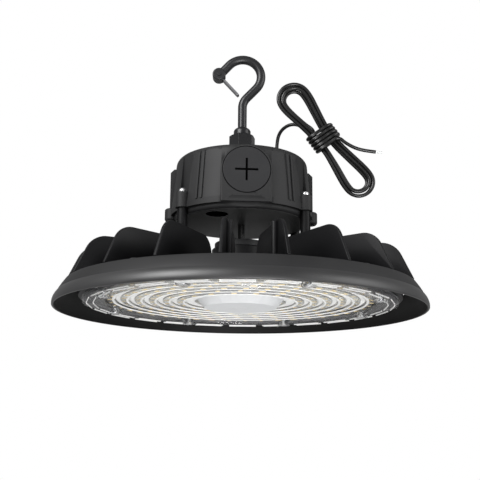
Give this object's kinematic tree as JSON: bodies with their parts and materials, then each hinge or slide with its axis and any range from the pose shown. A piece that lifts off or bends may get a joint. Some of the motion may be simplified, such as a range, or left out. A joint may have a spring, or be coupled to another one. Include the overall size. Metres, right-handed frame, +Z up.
{
  "type": "high bay light",
  "caption": "Round high bay light: finned black casting with a flared shade, clear ridged lens, driver box on posts, hook with latch, and a tied supply cord.",
  "frame": {"origin": "the point where the hook bears on what holds it, at the top of its eye over the light's axis", "axes": "+Z up along the light's axis; the hook lies in the X-Z plane with its mouth towards -X; the round port plug faces -Y, turned 3.8 degrees towards +X"},
  "size_m": [0.34, 0.34, 0.2514],
  "materials": {
    "black_casting": "matt black powder coat on die-cast aluminium",
    "black_steel": "satin black coat on steel",
    "black_plastic": "matt moulded nylon",
    "bright_steel": "plated",
    "spring_steel": "bare spring steel",
    "clear_lens": "clear polycarbonate, frosted well",
    "board_white": "white solder mask on an aluminium board",
    "chip_phosphor": "phosphor under clear resin",
    "seal_rubber": "silicone",
    "driver_board": "solder mask",
    "wound_core": "ferrite with taped winding",
    "can_sleeve": "shrink sleeve",
    "cord_jacket": "smooth black cable jacket",
    "tinned_copper": "tinned copper strands"
  },
  "bodies": {
    "fixture": {"shade_ring": "black_casting", "heat_sink": "black_casting", "driver_base": "black_casting", "driver_cover": "black_casting", "hook": "black_steel", "hook_collar": "black_steel", "lock_nut": "bright_steel", "ring_screws": "black_steel", "lens_screws": "bright_steel", "cover_screws": "bright_steel", "latch_pin": "black_steel", "port_plug": "black_plastic", "port_seal": "seal_rubber", "breather_plug": "black_plastic", "cable_gland": "black_plastic", "gland_nut": "black_plastic", "cover_gasket": "seal_rubber", "lens": "clear_lens", "lens_gasket": "seal_rubber", "led_board": "board_white", "led_chips": "chip_phosphor", "driver_board": "driver_board", "transformer": "wound_core", "capacitors": "can_sleeve", "light_lead": "cord_jacket", "cord_lead": "cord_jacket", "cord_hank": "cord_jacket", "cord_tail": "cord_jacket", "wire_ends": "tinned_copper"},
    "latch_leaf": {"latch": "spring_steel"}
  },
  "joints": [
    {"name": "latch_hinge", "type": "hinge", "parent": "fixture", "child": "latch_leaf", "pos_m": [-0.02293, 0, -0.01242], "axis": [0, -1, 0], "range_deg": [0, 38], "stiffness_Nm_per_rad": 0.02, "springref_deg": -34.38}
  ]
}
